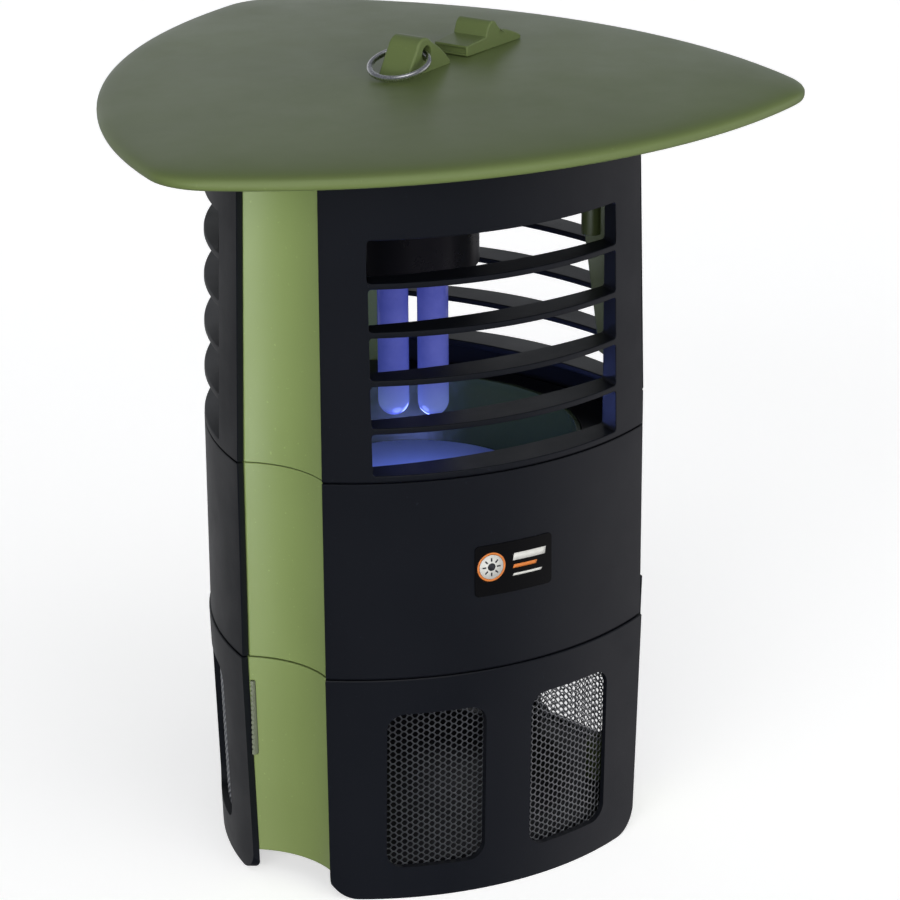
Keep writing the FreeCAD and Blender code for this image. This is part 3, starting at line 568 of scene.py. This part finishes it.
def makeMeshSheet(place, size):
    wide, high = size["cellWide"], size["cellHigh"]
    a = size["sideReach"]
    b = wide / 2 - a
    slant = math.hypot(a - b, high / 2)
    innerA = a - size["strand"] * slant / (high / 2)
    innerH = high / 2 - size["strand"]
    innerB = innerA - innerH * (a - b) / (high / 2)
    # the cell's outline, then its opening, arched above and rounder below
    cell = [(-a, 0), (-(a + b) / 2, high / 4), (-b, high / 2), (b, high / 2), ((a + b) / 2, high / 4),
            (a, 0), ((a + b) / 2, -high / 4), (b, -high / 2), (-b, -high / 2), (-(a + b) / 2, -high / 4)]
    sideX, sideZ = (innerA + innerB) / 2, innerH / 2
    opening = [(-innerA, 0), (-sideX - 0.08, sideZ + 0.06), (-innerB, innerH), (innerB, innerH),
               (sideX + 0.08, sideZ + 0.06), (innerA, 0), (sideX + 0.02, -sideZ - 0.02), (innerB, -innerH),
               (-innerB, -innerH), (-sideX - 0.02, -sideZ - 0.02)]
    radiusMid = size["footRadius"]
    halfArc = math.radians(size["halfAngle"]) * radiusMid
    columns = int(halfArc / (wide / 2)) + 1
    rows = int((size["high"] - size["low"]) / high) + 1
    points, faces, lookup = [], [], {}

    def pointAt(s, z, out):
        radius = size["footRadius"] + (size["topRadius"] - size["footRadius"]) * z / size["topHeight"]
        radius += out - size["inset"]
        a = s / radiusMid
        return Vector((radius * math.sin(a), size["arcBack"] - radius * math.cos(a), z)) * mm

    def vertex(s, z, out):
        key = (round(s, 3), round(z, 3), round(out, 3))
        if key not in lookup:
            lookup[key] = len(points)
            points.append(pointAt(s, z, out))
        return lookup[key]

    for i in range(-columns, columns + 1):
        for j in range(rows + 1):
            s = i * wide / 2
            z = size["low"] + j * high + (high / 2 if i % 2 else 0)
            if abs(s) > halfArc - wide * 0.6 or z > size["high"] - high * 0.4:
                continue
            inner = [vertex(s + x, z + y, -y / innerH * size["lean"]) for x, y in opening]
            outer = [vertex(s + x, z + y, 0.0) for x, y in cell]
            for k in range(len(inner)):
                n = (k + 1) % len(inner)
                faces.append((outer[k], outer[n], inner[n], inner[k]))
    sheet = meshPiece("meshSheet_" + place, points, faces, meshSteel)
    thick = sheet.modifiers.new("thick", "SOLIDIFY")
    thick.thickness = size["thickness"] * mm
    thick.offset = -1.0
    settle(sheet)
    sheet.rotation_euler.z = math.radians(faceTurns[place])
    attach(sheet, "container")
    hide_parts("mesh_sheet_" + place)


for place in faceTurns:
    makeMeshSheet(place, meshSize)
print("steel mesh made")


plateLook = {
    "arcBack": 44.6,
    "radius": 123.72,
    "badge": (-7.6, 131.6, 5.6),   # centre x, height and radius, mm
    "ink": 0.04,
    "white": (0.50, 0.50, 0.48),
    "accent": (0.50, 0.15, 0.03),
    # x from and to, height from and to, white or accent
    "bars": ((1.0, 14.6, 132.6, 135.4, True), (1.0, 10.8, 129.6, 131.0, False),
             (1.0, 13.0, 126.6, 127.5, True)),
    "barSlant": 0.5,
    "lampRadius": 1.5,
    "rayCount": 8,
    "rayEnds": ((2.2, -0.14), (3.6, -0.07), (3.6, 0.07), (2.2, 0.14)),   # distance and half angle
    "rimWidth": 0.8,
    "faceInset": 0.9,
    "printLift": 0.03,     # above the plate, mm
    "inkLift": 0.09,
}


def plainPrint(name, colour):
    mat, tree, shader = blankMaterial(name)
    coords = addNode(tree, "ShaderNodeTexCoord")
    soft = noiseNode(tree, coords, 800.0, 4.0, 0.6)
    base = colourRamp(tree, [(0.3, tuple(c * 0.88 for c in colour)), (0.7, colour)], soft)
    wire(tree, base, "Color", shader, "Base Color")
    rough = addNode(tree, "ShaderNodeMapRange", {"To Min": 0.25, "To Max": 0.4})
    wire(tree, soft, "Fac", rough, "Value")
    wire(tree, rough, "Result", shader, "Roughness")
    return mat


plateGloss = mouldedPlastic("plateGloss", {
    **plasticBase, "colour": (0.0035, 0.0035, 0.004), "roughness": (0.10, 0.16), "grainStrength": 0.05,
    "ior": 1.22, "dustAmount": 0.0})
dress(plateGloss, "nameplate")
printWhite = plainPrint("printWhite", plateLook["white"])
printAccent = plainPrint("printAccent", plateLook["accent"])
printInk = plainPrint("printInk", (0.02, 0.02, 0.025))


def onPlate(x, z, lift):
    a = x / plateLook["radius"]
    r = plateLook["radius"] + lift
    return Vector((r * math.sin(a), plateLook["arcBack"] - r * math.cos(a), z)) * mm


def inkPiece(name, points, faces, material):
    piece = meshPiece(name, points, faces, material)
    thick = piece.modifiers.new("ink", "SOLIDIFY")
    thick.thickness = plateLook["ink"] * mm
    settle(piece)
    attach(piece, "head")


# a thin printed patch from outlines of (x, height) points in mm; a second loop is a hole
def printShape(name, loops, material, lift=plateLook["printLift"]):
    bm = bmesh.new()
    for loop in loops:
        ring = [bm.verts.new((x, z, 0)) for x, z in loop]
        for k in range(len(ring)):
            bm.edges.new((ring[k], ring[(k + 1) % len(ring)]))
    bmesh.ops.triangle_fill(bm, edges=bm.edges[:], use_beauty=True)
    points = [onPlate(v.co.x, v.co.y, lift) for v in bm.verts]
    faces = [[v.index for v in f.verts] for f in bm.faces]
    bm.free()
    inkPiece(name, points, faces, material)


def circle(cx, cz, r, count=40):
    angles = [2 * math.pi * k / count for k in range(count)]
    return [(cx + r * math.cos(a), cz + r * math.sin(a)) for a in angles]


# a slanted bar, cut into short steps so that it follows the curved plate
def printBar(name, x1, x2, z1, z2, slant, material, steps=10):
    points, faces = [], []
    for k in range(steps + 1):
        x = x1 + (x2 - x1) * k / steps
        points += [onPlate(x, z1, plateLook["printLift"]), onPlate(x + slant, z2, plateLook["printLift"])]
        if k:
            faces.append((2 * k - 2, 2 * k, 2 * k + 1, 2 * k - 1))
    inkPiece(name, points, faces, material)


bx, bz, br = plateLook["badge"]
printShape("badgeRing", [circle(bx, bz, br), circle(bx, bz, br - plateLook["rimWidth"])], printAccent)
printShape("badgeFace", [circle(bx, bz, br - plateLook["faceInset"])], printWhite)
printShape("badgeLamp", [circle(bx, bz, plateLook["lampRadius"])], printInk, plateLook["inkLift"])
for k in range(plateLook["rayCount"]):
    turn = 2 * math.pi * k / plateLook["rayCount"]
    ray = [(bx + math.cos(turn + side) * r, bz + math.sin(turn + side) * r)
           for r, side in plateLook["rayEnds"]]
    printShape("badgeRay" + str(k), [ray], printInk, plateLook["inkLift"])
for k, (x1, x2, z1, z2, ink) in enumerate(plateLook["bars"]):
    printBar("printBar" + str(k), x1, x2, z1, z2, plateLook["barSlant"], printWhite if ink else printAccent)
print("nameplate printed")


studio = {
    "floorColour": 0.80,
    "floorGlow": 0.56,
    "backdrop": 0.97,
    # name, compass angle and height of the light in degrees, strength, softness in degrees
    "suns": (("keyLeft", 226, 4, 3.3, 60), ("fillFront", 284, 6, 2.0, 60), ("fillRight", 330, 8, 0.6, 80)),
    "sunColour": (1.0, 0.99, 0.965),
    "sheen": {"azimuth": 231, "away": 0.80, "across": 0.8, "power": 6.0, "colour": (0.86, 0.95, 1.0)},
    "worldLow": (0.045, 0.047, 0.055),
    "worldMiddle": (0.19, 0.20, 0.22),
    "worldHigh": (0.10, 0.105, 0.12),
    "worldTop": (0.16, 0.165, 0.18),
    # compass angle, height, spread in degrees, colour and strength of the soft patches
    "lobes": (
        (345, -14, 52, (1.0, 0.97, 0.98), 0.45),  # right side, seen in the right of the front
        (92, -12, 60, (1.0, 1.0, 1.0), 0.34),     # rear left, seen in the left side
        (63, 8, 40, (0.9, 0.94, 1.0), 0.15),      # behind, seen in the roof
        (250, 62, 26, (1.0, 1.0, 1.0), 1.10),     # high in front, seen in edges and the ring
    ),
    "ringSteps": 96,
    # radius and height of the backdrop's rings, metres
    "wallRings": ((9, 0), (9.6, 0.6), (9.8, 5), (8, 9), (0.1, 11)),
}


# compass angle from +X and height above the horizon, in degrees
def directionOf(azimuth, elevation):
    a, e = math.radians(azimuth), math.radians(elevation)
    return Vector((math.cos(a) * math.cos(e), math.sin(a) * math.cos(e), math.sin(e)))


# a round soft patch of light in the world; spread is its radius in degrees
def softLobe(tree, coords, azimuth, elevation, spread, colour, strength):
    dot = addNode(tree, "ShaderNodeVectorMath", operation="DOT_PRODUCT")
    wire(tree, coords, "Generated", dot, 0)
    dot.inputs[1].default_value = directionOf(azimuth, elevation)
    fade = addNode(tree, "ShaderNodeMapRange", {"From Min": math.cos(math.radians(spread)), "From Max": 1.0},
                   interpolation_type="SMOOTHSTEP")
    wire(tree, dot, "Value", fade, "Value")
    lobe = addNode(tree, "ShaderNodeBackground", {"Color": (*colour, 1)})
    power = addNode(tree, "ShaderNodeMath", operation="MULTIPLY", inputs={1: strength})
    wire(tree, fade, "Result", power, 0)
    wire(tree, power, 0, lobe, "Strength")
    return lobe


def makeWorld(setup):
    world = bpy.data.worlds.new("studio")
    scene.world = world
    world.use_nodes = True
    tree = world.node_tree
    tree.nodes.clear()
    coords = addNode(tree, "ShaderNodeTexCoord")
    split = addNode(tree, "ShaderNodeSeparateXYZ")
    wire(tree, coords, "Generated", split, "Vector")
    height = addNode(tree, "ShaderNodeMapRange", {"From Min": -1.0, "From Max": 1.0})
    wire(tree, split, "Z", height, "Value")
    skyStops = [(0.0, setup["worldLow"]), (0.44, setup["worldLow"]), (0.56, setup["worldMiddle"]),
                (0.72, setup["worldHigh"]), (1.0, setup["worldTop"])]
    sky = colourRamp(tree, skyStops, height, "Result")
    total = addNode(tree, "ShaderNodeBackground")
    wire(tree, sky, "Color", total, "Color")
    for azimuth, elevation, spread, colour, strength in setup["lobes"]:
        add = addNode(tree, "ShaderNodeAddShader")
        tree.links.new(total.outputs[0], add.inputs[0])
        lobe = softLobe(tree, coords, azimuth, elevation, spread, colour, strength)
        tree.links.new(lobe.outputs[0], add.inputs[1])
        total = add
    out = addNode(tree, "ShaderNodeOutputWorld")
    tree.links.new(total.outputs[0], out.inputs["Surface"])


def makeStage(setup):
    floorMat, tree, shader = blankMaterial("paleFloor")
    shader.inputs["Base Color"].default_value = (*grey(setup["floorColour"]), 1)
    shader.inputs["Roughness"].default_value = 0.9
    shader.inputs["Specular IOR Level"].default_value = 0.0
    shader.inputs["Emission Color"].default_value = (1, 1, 1, 1)
    shader.inputs["Emission Strength"].default_value = setup["floorGlow"]
    steps = setup["ringSteps"]
    angles = [2 * math.pi * k / steps for k in range(steps)]
    floorRadius = setup["wallRings"][0][0]
    ring = [(floorRadius * math.cos(a), floorRadius * math.sin(a), 0) for a in angles]
    floor = meshPiece("floor", ring, [tuple(range(steps))], floorMat, smooth=False)
    floor.visible_glossy = False
    floor.visible_diffuse = False
    floor.visible_shadow = False
    wallMat, tree, shader = blankMaterial("paleWall")
    shader.inputs["Base Color"].default_value = (0, 0, 0, 1)
    shader.inputs["Specular IOR Level"].default_value = 0.0
    shader.inputs["Emission Color"].default_value = (1, 1, 1, 1)
    shader.inputs["Emission Strength"].default_value = setup["backdrop"]
    points, faces = [], []
    for r, z in setup["wallRings"]:
        points += [(r * math.cos(a), r * math.sin(a), z) for a in angles]
    for row in range(len(setup["wallRings"]) - 1):
        for k in range(steps):
            n = (k + 1) % steps
            faces.append((row * steps + k, row * steps + n, (row + 1) * steps + n, (row + 1) * steps + k))
    wall = meshPiece("backdrop", points, faces, wallMat)
    for flag in ("visible_glossy", "visible_diffuse", "visible_shadow", "visible_transmission"):
        setattr(wall, flag, False)


def addLight(name, kind, power, colour, place, aim=(0, 0, 0.15), **settings):
    data = bpy.data.lights.new(name, kind)
    data.energy = power
    data.color = colour
    for key, value in settings.items():
        setattr(data, key, value)
    light = bpy.data.objects.new(name, data)
    light.location = place
    light.rotation_euler = (Vector(aim) - Vector(place)).to_track_quat("-Z", "Y").to_euler()
    scene.collection.objects.link(light)
    return light


makeWorld(studio)
makeStage(studio)
for name, azimuth, elevation, strength, angle in studio["suns"]:
    sun = addLight(name, "SUN", strength, studio["sunColour"], directionOf(azimuth, elevation) * 3,
                   (0, 0, 0), angle=math.radians(angle))
    sun.visible_glossy = False
# the pale floor in front, as the green coves mirror it
sheenSetup = studio["sheen"]
sheenAt = directionOf(sheenSetup["azimuth"], 0) * sheenSetup["away"]
sheen = addLight("coveSheen", "AREA", sheenSetup["power"], sheenSetup["colour"], sheenAt,
                 sheenAt + Vector((0, 0, 1)), shape="DISK", size=sheenSetup["across"])
greenPieces = bpy.data.collections.new("greenPieces")
for kind in ("upper_column", "band_column", "container_column"):
    for name in named(kind, cornerAngles):
        greenPieces.objects.link(nodes[name])
sheen.light_linking.receiver_collection = greenPieces
for k, (x, y, z) in enumerate(lampLook["glowPlaces"]):
    spot = addLight("tubeGlow" + str(k), "POINT", lampLook["glowPower"], lampLook["glowColour"],
                    (x * mm, y * mm, z * mm), shadow_soft_size=lampLook["glowSize"])
    spot.visible_camera = False
    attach(spot, "head")
print("studio set")
